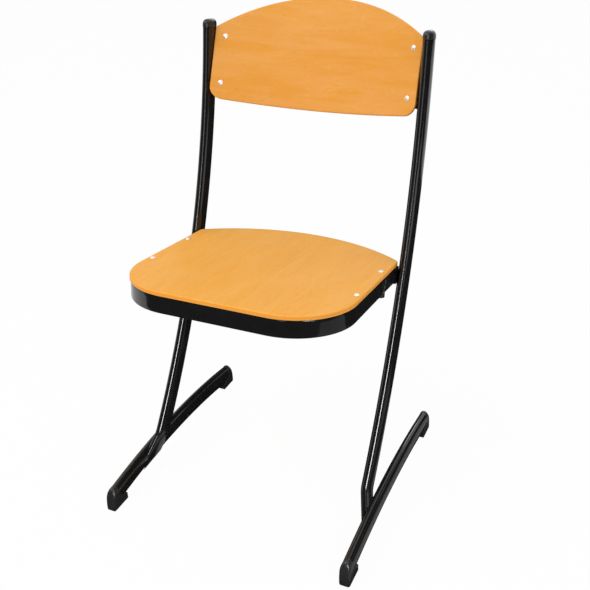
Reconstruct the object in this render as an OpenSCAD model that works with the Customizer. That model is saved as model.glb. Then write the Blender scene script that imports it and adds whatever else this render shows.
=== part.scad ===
// Choir chair: a stacking chair on two bent oval tubes, with a plywood seat and back.
// +X is the sitter's left, +Y the back of the chair and +Z up. The floor is at z = 0.

/* [Oval tube] */
// Depth of the oval tube, front to back in the uprights
tube_depth = 38; // [30:1:44]
// Width of the oval tube, side to side
tube_width = 20; // [16:1:24]
// Radius of the tube's narrow front and rear edges
tube_edge_r = 6; // [4:0.5:7]
// Wall of the oval tube
tube_wall = 2; // [1:0.25:2.5]

/* [Uprights] */
// Distance between the middle planes of the two uprights
upright_spread = 420; // [380:1:480]
// Radius of the long bend from ankle to top
bend_r = 1595; // [1400:5:1800]
// Lean of the leg at the ankle, from the vertical (degrees)
foot_lean = 36; // [30:1:40]
// Lean of the upright at its top end (degrees)
top_lean = 8; // [4:1:14]
// Ankle's distance in front of the middle of the feet
ankle_front = 68; // [50:1:90]
// Height of the ankle, where the leg turns out to its rail
ankle_z = 75; // [70:1:90]
// Radius of the outward bend at the ankle
ankle_r = 60; // [40:1:90]
// How far the leg turns outwards at the ankle (degrees)
splay = 14; // [10:1:18]
// How much each stage of the leg's closed toe is drawn in all round
toe_crimp = 0.1; // [0.1:0.05:0.5]
// Slope of the cut that trims the leg's toe, rising away from the rail (degrees)
toe_cut = 52; // [30:1:60]
// Depth below the rail's middle line at which that cut meets the rail's side
toe_drop = 13; // [8:0.5:16]

/* [Foot rails] */
// Distance between the middle planes of the two foot rails
rail_spread = 456; // [440:1:520]
// Length over the glides, front to back
foot_length = 459; // [430:1:500]
// Height of the rail's middle line at its crest
rail_crest_z = 41.5; // [38:0.5:50]
// Radius of the rail's arch
arch_r = 1340; // [1100:5:1800]

/* [Glides] */
// Length of the pad on the floor
pad_length = 41; // [36:1:50]
// Height of the pad's sides at the end under the rail
pad_h = 14; // [10:0.5:18]
// Height of those sides where they meet the head
cheek_h = 22; // [16:0.5:24]
// Length of the head that closes the rail's end
head_length = 21; // [16:1:26]
// Radius of the head's nose, seen from the side
nose_r = 24; // [10:1:26]
// Radius of the head's upright edges
head_edge_r = 3; // [1:0.5:5]
// Rounding of the pad's long edges at the floor
sole_r = 2.6; // [1:0.2:4]
// Length of the plug inside the tube
plug_length = 24; // [15:1:40]

/* [Upright caps] */
// Height of the cap above the tube
cap_h = 15; // [12:0.5:20]
// How far the cap stands proud of the tube
cap_proud = 0.5; // [0.3:0.1:1]
// Radius at which the cap's top turns down to its two flanks
cap_flank_r = 9.5; // [4:0.5:10]
// Radius at which the cap's top turns down at the front and rear
crown_r = 9; // [4:0.5:12]

/* [Seat] */
// Width of the seat panel
seat_width = 398.4; // [360:0.2:398.8]
// Distance of the seat's front edge from the middle of the feet, along the seat
seat_front = 198; // [180:1:220]
// Radius of the seat's front corners
seat_corner_r = 107; // [60:1:120]
// Distance of the rear corners behind the middle of the feet, along the seat
seat_back = 114; // [112:1:118]
// Radius of the seat's rear edge
seat_rear_r = 315; // [260:1:500]
// Radius of the seat's rear corners
seat_rear_corner_r = 10; // [4:0.5:14]
// Thickness of the seat plywood
seat_t = 8; // [7:0.5:12]
// Height of the seat's top face above the middle of the feet
seat_z = 439.6; // [420:0.2:460]
// Slope of the seat down towards the back (degrees)
seat_slope = 6.9; // [4:0.1:9]
// Distance of the seat rivets from the middle, side to side
seat_rivet_x = 189; // [180:1:190]
// Places of the seat rivets along the seat, front and rear
seat_rivet_places = [-68, 50]; // [-100:1:80]

/* [Seat frame] */
// Height of the frame tube under the panel
frame_h = 30; // [25:1:35]
// Width of the frame tube
frame_w = 15; // [12:1:20]
// Wall of the frame tube
frame_wall = 1.5; // [1:0.25:2.5]
// How far the frame is set in from the panel's edge
frame_inset = 1.5; // [0.5:0.5:4]
// Place of the rear cross tube's front face along the seat
cross_front = 97.5; // [94:0.5:99]

/* [Stacking buffers] */
// Height of a buffer under the frame
buffer_h = 9; // [6:0.5:14]
// Radius of a buffer at its top
buffer_r = 7; // [5:0.5:7.5]
// Radius of a buffer's rounded lower edge
buffer_edge_r = 2; // [1:0.25:3]
// Place of the buffers along the seat
buffer_place = 52; // [20:1:60]

/* [Backrest] */
// Width of the back panel
back_width = 398.6; // [360:0.2:398.8]
// Radius of the panel's front face, side to side
back_r = 440; // [400:5:700]
// Thickness of the back plywood
back_t = 9; // [7:0.5:12]
// Lean of the back panel from the vertical (degrees)
back_lean = 21; // [16:0.5:22]
// Distance of the panel's middle behind the middle of the feet
back_y = 248.5; // [244:0.5:252]
// Height of the panel's middle, between its rivets
back_z = 718.6; // [712:0.2:724]
// Height of the crest above the panel's middle, along the panel
back_top = 129.4; // [120:0.2:140]
// Depth of the lower edge below the panel's middle, along the panel
back_bottom = 75.6; // [70:0.2:80]
// Radius of the arched top edge
back_top_r = 320; // [300:1:360]
// Radius of the bowed lower edge
back_bottom_r = 4500; // [2500:100:6000]
// Radius of the panel's upper corners
back_upper_corner_r = 9; // [5:1:14]
// Radius of the panel's lower corners
back_lower_corner_r = 22; // [14:1:28]
// Height of the upper and lower rivets from the panel's middle
back_rivet_places = [-42, 43.5]; // [-50:0.5:50]
// Distance of the back rivets from the middle, side to side
back_rivet_x = 181.3; // [176:0.1:184]

/* [Back brackets] */
// Thickness of the bracket plate
bracket_t = 3; // [2:0.5:4]
// Height of the bracket plate
bracket_h = 116; // [104:1:124]
// Distance of the bracket's inner edge from the middle
bracket_inner_x = 167; // [160:1:170]
// Radius of the bracket's inner corners
bracket_corner_r = 9; // [4:1:12]

/* [Rivets] */
// Radius of a rivet's head
head_r = 4.8; // [4:0.1:6]
// Height of a rivet's head
head_h = 2.2; // [1.6:0.1:3]
// Height of the straight rim of a head
rim_h = 0.5; // [0.3:0.1:0.8]
// Radius of a rivet's shank
shank_r = 2.5; // [2:0.1:3]
// Radius of the upset tail behind a back rivet's washer
tail_r = 4; // [3.2:0.1:4.8]
// Height of the tail
tail_h = 1.6; // [1:0.1:2.4]
// Radius of the washers behind the back rivets
washer_r = 6; // [5:0.5:8]
// Thickness of the washers
washer_t = 1.2; // [1:0.1:1.6]
// Radius of the flared end of a seat rivet, as a share of its shank's
flare_share = 1.5; // [1.1:0.1:1.8]

/* [Fits] */
// Gap left for paint and weld where one tube is coped to another
weld_gap = 0.3; // [0.2:0.05:0.5]
// Clearance of a plug in its tube and of a rivet in its hole
fit_gap = 0.2; // [0.1:0.05:0.4]
// How far two stages of one bent or moulded piece run into each other
overrun = 1; // [0.5:0.1:1.5]
// How far a round corner stands proud of the edges it joins, so that their outlines cross
corner_lap = 0.02; // [0.01:0.01:0.05]

/* [Hidden] */
$fn = 96;
// Segments of the long bends, whose radii are far larger than the rest
bend_fn = 720;

// The sitter's left is +X
left = 1;
right = -1;
front = -1;
rear = 1;

frame_black = [0.06, 0.06, 0.065];
plastic_black = [0.1, 0.1, 0.105];
beech = [0.93, 0.62, 0.27];
rivet_silver = [0.8, 0.8, 0.82];

upright_x = upright_spread / 2;
rail_x = rail_spread / 2;
bend_angle = foot_lean - top_lean;

arch_centre_z = rail_crest_z - arch_r;
rail_half = foot_length / 2 - head_length;
rail_half_angle = asin(rail_half / arch_r);
rail_end_z = arch_centre_z + arch_r * cos(rail_half_angle);

seat_half = seat_width / 2;
under_seat = -seat_t;
under_frame = under_seat - frame_h;
dome_r = (head_r * head_r + (head_h - rim_h) * (head_h - rim_h)) / (2 * (head_h - rim_h));

// Radius of the two long flanks of an oval with the given depth, width and edge radius
function flank_r(depth, width, edge_r) =
    (pow(depth / 2 - edge_r, 2) + width * width / 4 - edge_r * edge_r) / (width - 2 * edge_r);

// Angle on the back panel's curve at a distance x from the middle
function back_angle(x) = asin(x / back_r);

// The box's middle, front to back, lies over the origin
back_rear_y = back_y + back_top * sin(back_lean) + back_t * cos(back_lean);
middle_y = (back_rear_y - foot_length / 2) / 2;

module in_frame() translate([0, -middle_y, 0]) children();

module on_side(side) {
    if (side == right) mirror([1, 0, 0]) children();
    else children();
}

// Oval of four arcs, its depth along x
module oval(depth, width, edge_r) {
    reach = depth / 2 - edge_r;
    side_r = flank_r(depth, width, edge_r);
    join = reach * side_r / (side_r - edge_r);
    for (end = [-1, 1])
        translate([end * reach, 0]) circle(r = edge_r);
    intersection() {
        translate([0, width / 2 - side_r]) circle(r = side_r);
        translate([0, side_r - width / 2]) circle(r = side_r);
        translate([-join, -width / 2]) square([2 * join, width]);
    }
}

module tube_outline(grow = 0)
    oval(tube_depth + 2 * grow, tube_width + 2 * grow, tube_edge_r + grow);

module tube_section() {
    difference() {
        tube_outline();
        tube_outline(-tube_wall);
    }
}

// The leg's own axes at the ankle: z runs up along the leg
module at_ankle() translate([upright_x, -ankle_front, ankle_z]) rotate([-foot_lean, 0, 0]) children();

module at_bend_centre() at_ankle() translate([0, -bend_r, 0]) children();

module at_upright_top() at_bend_centre() rotate([bend_angle, 0, 0]) translate([0, bend_r, 0]) children();

// Sweeps a section along an upright's long bend
module along_upright() {
    at_bend_centre()
        rotate([90, 0, 90])
            rotate_extrude(angle = bend_angle, $fn = bend_fn)
                translate([bend_r, 0]) children();
}

// Sweeps a section along a foot rail's arch
module along_rail() {
    translate([rail_x, 0, arch_centre_z])
        rotate([90, 0, 90])
            rotate([0, 0, 90 - rail_half_angle])
                rotate_extrude(angle = 2 * rail_half_angle, $fn = bend_fn)
                    translate([arch_r, 0]) children();
}

// The leg's closed lower end: it turns out at the ankle and runs down along the rail
module ankle() {
    toe_length = ankle_z / cos(foot_lean);
    lead = atan(overrun / ankle_r);
    at_ankle()
        translate([ankle_r, 0, 0]) {
            rotate([90, 0, 0])
                rotate([0, 0, 180 - lead])
                    rotate_extrude(angle = splay + lead, $fn = bend_fn)
                        translate([ankle_r, 0]) rotate([0, 0, 90]) tube_outline(-toe_crimp);
            rotate([0, -splay, 0])
                translate([-ankle_r, 0, -toe_length])
                    linear_extrude(toe_length + overrun) rotate([0, 0, 90]) tube_outline(-2 * toe_crimp);
        }
}

// What is cut from the leg: the rail it is coped to, all below the rail, and all beyond its middle
module leg_trim() {
    low_r = arch_r - toe_drop - tube_width / 2 * tan(toe_cut);
    high_r = low_r + (tube_width / 2 + tube_depth) * tan(toe_cut);
    along_rail() tube_outline(weld_gap);
    translate([rail_x - tube_depth, 0, arch_centre_z])
        rotate([0, 90, 0])
            cylinder(r = arch_r - tube_depth / 2, h = 2 * tube_depth, $fn = 4 * bend_fn);
    translate([rail_x - tube_width / 2 - tube_depth, 0, arch_centre_z])
        rotate([0, 90, 0])
            cylinder(r1 = high_r, r2 = low_r, h = tube_width / 2 + tube_depth, $fn = 4 * bend_fn);
    translate([rail_x, -foot_length / 2, 0])
        cube([tube_depth, foot_length, ankle_z + tube_depth]);
}

module upright(side) {
    color(frame_black) in_frame() on_side(side)
        difference() {
            union() {
                along_upright() tube_section();
                ankle();
            }
            leg_trim();
        }
}

module foot_rail(side)
    color(frame_black) in_frame() on_side(side) along_rail() tube_section();

// Side view of an upright's cap: flat on top, with two large round corners
module cap_profile() {
    reach = tube_depth / 2 + cap_proud + corner_lap;
    translate([-reach, -crown_r]) square([2 * reach, cap_h]);
    translate([crown_r - reach, 0]) square([2 * (reach - crown_r), cap_h]);
    for (end = [-1, 1])
        translate([end * (reach - crown_r), cap_h - crown_r]) circle(r = crown_r);
}

// Disc with a round upper rim, whose edge on one side follows that flank of a cap
module cap_flank(side) {
    flank = flank_r(tube_depth + 2 * cap_proud, tube_width + 2 * cap_proud, tube_edge_r + cap_proud);
    disc_r = flank + corner_lap;
    disc_h = cap_h + corner_lap;
    translate([side * (tube_width / 2 + cap_proud - flank), 0, 0])
        rotate_extrude() {
            translate([0, -cap_flank_r]) square([disc_r, disc_h]);
            square([disc_r - cap_flank_r, disc_h]);
            translate([disc_r - cap_flank_r, disc_h - cap_flank_r]) circle(r = cap_flank_r);
        }
}

// Closes the top of an upright: a domed cap with a plug inside the tube
module upright_cap(side) {
    color(plastic_black) in_frame() on_side(side)
        at_upright_top() {
            intersection() {
                linear_extrude(cap_h + overrun) rotate([0, 0, 90]) tube_outline(cap_proud);
                cap_flank(left);
                cap_flank(right);
                translate([-tube_width, 0, 0])
                    rotate([90, 0, 90]) linear_extrude(2 * tube_width) cap_profile();
            }
            translate([0, 0, -plug_length])
                linear_extrude(plug_length + overrun)
                    rotate([0, 0, 90]) tube_outline(-tube_wall - fit_gap);
        }
}

// Side view of a glide: y runs out to the rail's end and z is the height
module glide_profile() {
    tip = foot_length / 2;
    head_top = rail_end_z + tube_depth / 2;
    head_back = rail_half - tube_depth / 2 * sin(rail_half_angle);
    difference() {
        union() {
            polygon([
                [tip - pad_length, 0], [tip, 0], [tip, cheek_h],
                [head_back, cheek_h], [tip - pad_length, pad_h]
            ]);
            translate([head_back, 0]) square([tip - head_back, head_top]);
        }
        translate([tip - nose_r, head_top - nose_r])
            difference() {
                square(nose_r + overrun);
                circle(r = nose_r);
            }
    }
}

// Front view of a glide: the tube's oval top on straight sides and a rounded sole
module glide_front() {
    translate([0, rail_end_z]) rotate([0, 0, 90]) tube_outline();
    translate([-tube_width / 2, sole_r]) square([tube_width, rail_end_z - sole_r]);
    translate([sole_r - tube_width / 2, 0]) square([tube_width - 2 * sole_r, rail_end_z]);
    for (edge = [-1, 1])
        translate([edge * (tube_width / 2 - sole_r), sole_r]) circle(r = sole_r);
}

// Top view of a glide: two round corners at the tip
module glide_plan() {
    tip = foot_length / 2;
    across = tube_width / 2 - head_edge_r;
    translate([-tube_width / 2, tip - pad_length]) square([tube_width, pad_length - head_edge_r]);
    translate([-across, tip - pad_length]) square([2 * across, pad_length]);
    for (side = [-1, 1])
        translate([side * across, tip - head_edge_r]) circle(r = head_edge_r);
}

module glide(side, end) {
    plug_angle = asin((rail_half - plug_length) / arch_r);
    root_angle = asin((rail_half + overrun) / arch_r);
    color(plastic_black) in_frame() on_side(side) {
        difference() {
            intersection() {
                translate([rail_x - tube_width, 0, 0])
                    rotate([90, 0, 90])
                        linear_extrude(2 * tube_width) mirror([end == front ? 1 : 0, 0]) glide_profile();
                translate([rail_x, 0, 0])
                    linear_extrude(tube_depth + foot_length) mirror([0, end == front ? 1 : 0]) glide_plan();
                translate([rail_x, foot_length, 0])
                    rotate([90, 0, 0]) linear_extrude(2 * foot_length) glide_front();
            }
            along_rail() tube_outline(weld_gap);
        }
        translate([rail_x, 0, arch_centre_z])
            rotate([90, 0, 90])
                rotate([0, 0, end == rear ? 90 - root_angle : 90 + plug_angle])
                    rotate_extrude(angle = root_angle - plug_angle, $fn = bend_fn)
                        translate([arch_r, 0]) tube_outline(-tube_wall - fit_gap);
    }
}

// Puts its children on the seat's plane: x across, y along the seat, z = 0 on the top face
module on_seat() translate([0, 0, seat_z]) rotate([-seat_slope, 0, 0]) children();

// Straight sides and front with round front corners
module seat_front_outline(inset, reach) {
    half = seat_half - inset;
    corner = seat_corner_r - inset;
    corner_y = seat_corner_r - seat_front;
    translate([-half, corner_y]) square([2 * half, reach - corner_y]);
    translate([-seat_half + seat_corner_r, inset - seat_front])
        square([2 * (seat_half - seat_corner_r), corner]);
    for (side = [left, right])
        translate([side * (seat_half - seat_corner_r), corner_y]) circle(r = corner);
}

// The seat's whole outline: the rear edge is one arc, met by a round corner at each side
module seat_outline() {
    corner = seat_rear_corner_r;
    rear_centre = seat_back - sqrt(seat_rear_r * seat_rear_r - seat_half * seat_half);
    across = seat_half - corner;
    corner_y = rear_centre + sqrt((seat_rear_r - corner) * (seat_rear_r - corner) - across * across);
    join = across * seat_rear_r / (seat_rear_r - corner);
    seat_front_outline(0, corner_y);
    for (side = [left, right])
        translate([side * across, corner_y]) circle(r = corner + corner_lap);
    intersection() {
        translate([0, rear_centre]) circle(r = seat_rear_r, $fn = bend_fn);
        translate([-join, 0]) square([2 * join, 2 * seat_back]);
    }
}

module at_seat_rivets() {
    for (side = [left, right], place = seat_rivet_places)
        translate([side * seat_rivet_x, place, 0]) children();
}

module at_buffers() {
    for (side = [left, right])
        translate([side * (seat_half - frame_inset - frame_w / 2), buffer_place, under_frame]) children();
}

module seat_panel() {
    color(beech) in_frame() on_seat()
        difference() {
            translate([0, 0, under_seat]) linear_extrude(seat_t) seat_outline();
            at_seat_rivets() translate([0, 0, -2 * seat_t]) cylinder(r = shank_r + fit_gap, h = 3 * seat_t);
        }
}

// Bent tube round the front and the sides, its ends against the cross tube
module seat_frame() {
    inner = frame_inset + frame_w;
    color(frame_black) in_frame() on_seat()
        difference() {
            translate([0, 0, under_frame])
                linear_extrude(frame_h)
                    difference() {
                        seat_front_outline(frame_inset, cross_front);
                        seat_front_outline(inner, 2 * cross_front);
                    }
            translate([0, 0, under_frame + frame_wall])
                linear_extrude(frame_h - 2 * frame_wall)
                    difference() {
                        seat_front_outline(frame_inset + frame_wall, 2 * cross_front);
                        seat_front_outline(inner - frame_wall, 3 * cross_front);
                    }
            at_seat_rivets()
                translate([0, 0, under_seat - 2 * frame_wall])
                    cylinder(r = shank_r + fit_gap, h = 4 * frame_wall);
            at_buffers()
                translate([0, 0, -frame_wall]) cylinder(r = shank_r, h = 4 * frame_wall);
        }
}

// Straight tube between the uprights, coped to their oval sides
module rear_cross_tube() {
    color(frame_black) in_frame()
        difference() {
            on_seat()
                translate([-upright_x, cross_front, under_frame])
                    difference() {
                        cube([2 * upright_x, frame_w, frame_h]);
                        translate([-upright_x / 2, frame_wall, frame_wall])
                            cube([3 * upright_x, frame_w - 2 * frame_wall, frame_h - 2 * frame_wall]);
                    }
            for (side = [left, right])
                on_side(side) along_upright() tube_outline(weld_gap);
        }
}

// Domed head at z = 0 and up, with a shank below it
module rivet(shank_length) {
    rotate_extrude()
        intersection() {
            translate([0, head_h - dome_r]) circle(r = dome_r);
            square([head_r, head_h]);
        }
    translate([0, 0, -shank_length]) cylinder(r = shank_r, h = shank_length);
}

module seat_rivets() {
    grip = seat_t + frame_wall;
    color(rivet_silver) in_frame() on_seat() at_seat_rivets() {
        rivet(grip);
        translate([0, 0, -grip - shank_r]) cylinder(r1 = shank_r, r2 = flare_share * shank_r, h = shank_r);
    }
}

// Rubber stud with a sunk screw, under a side of the frame
module stack_buffer(side) {
    color(plastic_black) in_frame() on_seat()
        intersection() {
            at_buffers()
                rotate([180, 0, 0])
                    rotate_extrude() {
                        translate([head_r, 0]) square([buffer_r - head_r, buffer_h - buffer_edge_r]);
                        translate([head_r, 0]) square([buffer_r - buffer_edge_r - head_r, buffer_h]);
                        translate([shank_r, 0]) square([head_r - shank_r, buffer_h / 2]);
                        translate([buffer_r - buffer_edge_r, buffer_h - buffer_edge_r])
                            circle(r = buffer_edge_r);
                    }
            translate([side * seat_half - seat_half, 0, 2 * under_frame])
                cube([2 * seat_half, seat_half, -2 * under_frame]);
        }
}

module buffer_screws() {
    color(rivet_silver) in_frame() on_seat() at_buffers() {
        translate([0, 0, -buffer_h / 2]) cylinder(r = shank_r - fit_gap, h = buffer_h / 2 + 3 * frame_wall);
        translate([0, 0, -buffer_h / 2 - rim_h]) cylinder(r = head_r - fit_gap, h = rim_h);
    }
}

// Puts its children on the back panel: y = 0 on the front face in the middle, z up the panel
module on_back() translate([0, back_y, back_z]) rotate([-back_lean, 0, 0]) children();

// A shell behind the curved front face, from one depth to another
module back_shell(from, to, height) {
    translate([0, -back_r, -height / 2])
        difference() {
            cylinder(r = back_r + to, h = height, $fn = bend_fn);
            translate([0, 0, -height / 2]) cylinder(r = back_r + from, h = 2 * height, $fn = bend_fn);
        }
}

// Straight sides, an arched top and a bowed lower edge, with a round corner where they meet
module back_outline() {
    half = back_width / 2;
    top_centre = back_top - back_top_r;
    top_across = half - back_upper_corner_r;
    top_reach = back_top_r - back_upper_corner_r;
    top_corner = top_centre + sqrt(top_reach * top_reach - top_across * top_across);
    top_join = top_across * back_top_r / top_reach;
    low_centre = back_bottom_r - back_bottom;
    low_across = half - back_lower_corner_r;
    low_reach = back_bottom_r - back_lower_corner_r;
    low_corner = low_centre - sqrt(low_reach * low_reach - low_across * low_across);
    low_join = low_across * back_bottom_r / low_reach;
    translate([-half, low_corner]) square([back_width, top_corner - low_corner]);
    for (side = [left, right]) {
        translate([side * top_across, top_corner]) circle(r = back_upper_corner_r + corner_lap);
        translate([side * low_across, low_corner]) circle(r = back_lower_corner_r + corner_lap);
    }
    intersection() {
        translate([0, top_centre]) circle(r = back_top_r, $fn = bend_fn);
        translate([-top_join, 0]) square([2 * top_join, back_top]);
    }
    intersection() {
        translate([0, low_centre]) circle(r = back_bottom_r, $fn = 8 * bend_fn);
        translate([-low_join, -back_bottom]) square([2 * low_join, back_bottom]);
    }
}

module at_back_rivets() {
    for (side = [left, right], place = back_rivet_places)
        translate([0, -back_r, place])
            rotate([0, 0, -side * back_angle(back_rivet_x)])
                translate([0, back_r, 0]) rotate([90, 0, 0]) children();
}

module back_rivet_holes() {
    depth = back_t + bracket_t;
    at_back_rivets() translate([0, 0, -2 * depth]) cylinder(r = shank_r + fit_gap, h = 3 * depth);
}

module backrest_panel() {
    color(beech) in_frame() on_back()
        difference() {
            intersection() {
                back_shell(0, back_t, 3 * back_top);
                translate([0, back_top, 0])
                    rotate([90, 0, 0]) linear_extrude(2 * back_top) back_outline();
            }
            back_rivet_holes();
        }
}

// Bent plate behind the panel, welded to the inner side of an upright
module back_bracket(side) {
    plate_w = upright_x - tube_edge_r / 2 - bracket_inner_x;
    color(frame_black) in_frame() on_side(side)
        difference() {
            on_back()
                difference() {
                    intersection() {
                        back_shell(back_t, back_t + bracket_t, 2 * bracket_h);
                        translate([bracket_inner_x, back_r / 2, -bracket_h / 2])
                            rotate([90, 0, 0])
                                linear_extrude(back_r) {
                                    translate([bracket_corner_r, 0])
                                        square([plate_w - bracket_corner_r, bracket_h]);
                                    translate([0, bracket_corner_r])
                                        square([plate_w, bracket_h - 2 * bracket_corner_r]);
                                    for (y = [bracket_corner_r, bracket_h - bracket_corner_r])
                                        translate([bracket_corner_r, y])
                                            circle(r = bracket_corner_r + corner_lap);
                                }
                    }
                    back_rivet_holes();
                }
            along_upright() tube_outline(weld_gap);
        }
}

// The flat underside of a head rests on the panel's curve along its two edges
module back_rivets() {
    lift = back_r - sqrt(back_r * back_r - head_r * head_r);
    grip = back_t + bracket_t + washer_t;
    color(rivet_silver) in_frame() on_back() at_back_rivets() {
        translate([0, 0, lift]) rivet(grip + lift);
        translate([0, 0, -grip]) rotate([180, 0, 0]) {
            cylinder(r = tail_r, h = tail_h / 2);
            translate([0, 0, tail_h / 2]) cylinder(r1 = tail_r, r2 = shank_r, h = tail_h / 2);
        }
    }
}

module back_washers() {
    color(rivet_silver) in_frame() on_back() at_back_rivets()
        translate([0, 0, -back_t - bracket_t - washer_t])
            difference() {
                cylinder(r = washer_r, h = washer_t);
                translate([0, 0, -washer_t]) cylinder(r = shank_r + fit_gap, h = 3 * washer_t);
            }
}

upright(left);  // left_upright
upright(right);  // right_upright
upright_cap(left);  // left_upright_cap
upright_cap(right);  // right_upright_cap
foot_rail(left);  // left_foot_rail
foot_rail(right);  // right_foot_rail
glide(left, front);  // left_front_glide
glide(right, front);  // right_front_glide
glide(left, rear);  // left_rear_glide
glide(right, rear);  // right_rear_glide
seat_frame();
rear_cross_tube();
seat_panel();
seat_rivets();
stack_buffer(left);  // left_stack_buffer
stack_buffer(right);  // right_stack_buffer
buffer_screws();
backrest_panel();
back_bracket(left);  // left_back_bracket
back_bracket(right);  // right_back_bracket
back_rivets();
back_washers();
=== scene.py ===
# %% [markdown]
# # A choir chair: bent plywood on a black tube frame
#
# The chair is two oval steel uprights, each coped to an arched foot rail, a seat frame of
# rectangular tube and two riveted beech panels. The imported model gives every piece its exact
# place and size. This file dresses each piece: the same form, with the rounded edges, the paint,
# the moulded plastic and the wood that the plain solids lack.
#
# All lengths are metres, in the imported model's frame: X to the sitter's left, Y to the rear and
# Z up, with the origin on the floor under the middle of the chair.

import bmesh
import bpy
import numpy as np
from mathutils import Matrix, Vector


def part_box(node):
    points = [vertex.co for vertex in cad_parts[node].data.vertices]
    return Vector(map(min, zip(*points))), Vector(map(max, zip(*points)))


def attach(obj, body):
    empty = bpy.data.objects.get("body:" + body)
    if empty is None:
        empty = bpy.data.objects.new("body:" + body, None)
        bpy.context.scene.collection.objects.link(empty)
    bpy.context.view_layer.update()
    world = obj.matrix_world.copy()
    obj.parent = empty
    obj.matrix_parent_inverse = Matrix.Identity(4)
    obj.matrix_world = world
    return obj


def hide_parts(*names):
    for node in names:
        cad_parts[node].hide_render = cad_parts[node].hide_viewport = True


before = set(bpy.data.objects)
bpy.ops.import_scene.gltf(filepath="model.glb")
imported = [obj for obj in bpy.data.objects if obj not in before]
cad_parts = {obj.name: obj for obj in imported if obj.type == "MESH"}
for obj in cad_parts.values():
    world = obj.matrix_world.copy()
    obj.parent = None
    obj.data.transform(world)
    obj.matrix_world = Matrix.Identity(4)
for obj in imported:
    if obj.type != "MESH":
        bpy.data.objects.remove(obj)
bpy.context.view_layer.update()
print("nodes:", len(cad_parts))

mm = 0.001
sides = (("left", 1.0), ("right", -1.0))
ends = (("front", -1.0), ("rear", 1.0))

# %% [markdown]
# The frame stands with its box centred over the origin, front to back. The foot rails' middle
# lies a little in front of that, and all the pieces of the frame are measured from it.

# %% Where the feet's middle lies
feet_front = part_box("left_front_glide")[0].y
feet_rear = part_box("left_rear_glide")[1].y
feet_y = (feet_front + feet_rear) / 2
print("middle of the feet at y =", round(feet_y, 5))

# %% [markdown]
# ## From grids to pieces
#
# Every piece below is a closed skin made of one or more grids of points. A grid is easy to work
# out with numpy, but its seams and poles hold the same point many times. `skin` joins such
# points by their coordinates, drops the faces that vanish, and turns the rest outwards. Each
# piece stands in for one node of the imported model. Pieces that come in pairs are worked out for
# the sitter's left and mirrored for the right.


# %% Grids and their faces
def grid_faces(rows, columns, offset=0):
    """Quads between neighbours of a rows x columns grid, as indices."""
    index = offset + np.arange(rows * columns).reshape(rows, columns)
    quads = (index[:-1, :-1], index[1:, :-1], index[1:, 1:], index[:-1, 1:])
    return np.stack(quads, axis=-1).reshape(-1, 4)


def around(grid):
    """The same grid with its first column repeated at the end, so that it closes."""
    return np.concatenate([grid, grid[:, :1]], axis=1)


def closing(ring):
    """A fan from a ring to its middle, as a grid of two rows."""
    return around(np.stack([ring, np.broadcast_to(ring.mean(axis=0), ring.shape)]))


def closed_tube(rings):
    """The grids of a tube that is closed at both ends."""
    return [around(rings), closing(rings[0]), closing(rings[-1])]


def turn_outwards(mesh):
    """Makes all faces of a closed skin point away from its inside."""
    work = bmesh.new()
    work.from_mesh(mesh)
    bmesh.ops.recalc_face_normals(work, faces=work.faces)
    work.to_mesh(mesh)
    work.free()


# %% From grids of points to one closed piece
def skin(name, grids, material, replaced, sharp=40.0, values=None, weld=0.002 * mm):
    """Joins grids of points into one closed, smooth object that rides on the frame.

    Points closer than the weld distance become one: each coordinate is divided by that distance
    and rounded, and equal triples share an index. values holds one array per named attribute.
    """
    points = np.concatenate([g.reshape(-1, 3) for g in grids])
    starts = np.cumsum([0] + [g.shape[0] * g.shape[1] for g in grids])
    faces = np.concatenate(
        [grid_faces(g.shape[0], g.shape[1], s) for g, s in zip(grids, starts)]
    )
    _, first, index = np.unique(
        np.round(points / weld).astype(np.int64), axis=0, return_index=True, return_inverse=True
    )
    faces = index.reshape(-1)[faces]
    edges = (faces != np.roll(faces, 1, axis=1)).sum(axis=1)
    polygons = [tuple(f) for f in faces[edges == 4]]
    for f in faces[edges == 3]:
        polygons.append(tuple(dict.fromkeys(f.tolist())))
    mesh = bpy.data.meshes.new(name)
    mesh.from_pydata(points[first], [], polygons)
    for key, value in (values or {}).items():
        layer = mesh.attributes.new(key, "FLOAT_VECTOR", "POINT")
        layer.data.foreach_set("vector", np.ascontiguousarray(value[first], np.float32).ravel())
    piece = bpy.data.objects.new(name, mesh)
    bpy.context.scene.collection.objects.link(piece)
    mesh.materials.append(material)
    turn_outwards(mesh)
    mesh.shade_smooth()
    mesh.set_sharp_from_angle(angle=np.radians(sharp))
    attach(piece, "root")
    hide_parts(replaced)
    print(f"{name}: {len(mesh.vertices)} points, {len(mesh.polygons)} faces")


def pair(name, grids, material, replaced, sharp=40.0):
    """The left piece from its grids, and the right one with every x turned round."""
    for word, side in sides:
        mirrored = [g * np.array([side, 1.0, 1.0]) for g in grids]
        skin(f"{word}_{name}", mirrored, material, f"{word}_{replaced}", sharp)


# %% [markdown]
# ## Light, floor and camera
#
# The chair stands in a white studio. The background is white because the sky and the floor are
# white to the camera, not because more light falls on the chair. For camera, mirror and glass
# rays both glow with a strength of 1. For the light that reaches the chair the sky is dimmer and
# the floor is plain diffuse white. A small part of that plain white stays in view as well, so
# the chair's own soft shadow still lies on the floor.


# %% Nodes in short
def node(tree, kind, **inputs):
    """Adds a shader node; inputs are values or sockets, by socket name or as _ and its number."""
    made = tree.nodes.new("ShaderNode" + kind)
    for key, value in inputs.items():
        socket = made.inputs[int(key[1:])] if key[0] == "_" else made.inputs[key.replace("_", " ")]
        if isinstance(value, bpy.types.NodeSocket):
            tree.links.new(value, socket)
        else:
            socket.default_value = value
    return made


def calc(tree, how, one, two):
    """The result of a Math node."""
    made = node(tree, "Math", _0=one, _1=two)
    made.operation = how
    return made.outputs[0]


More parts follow.
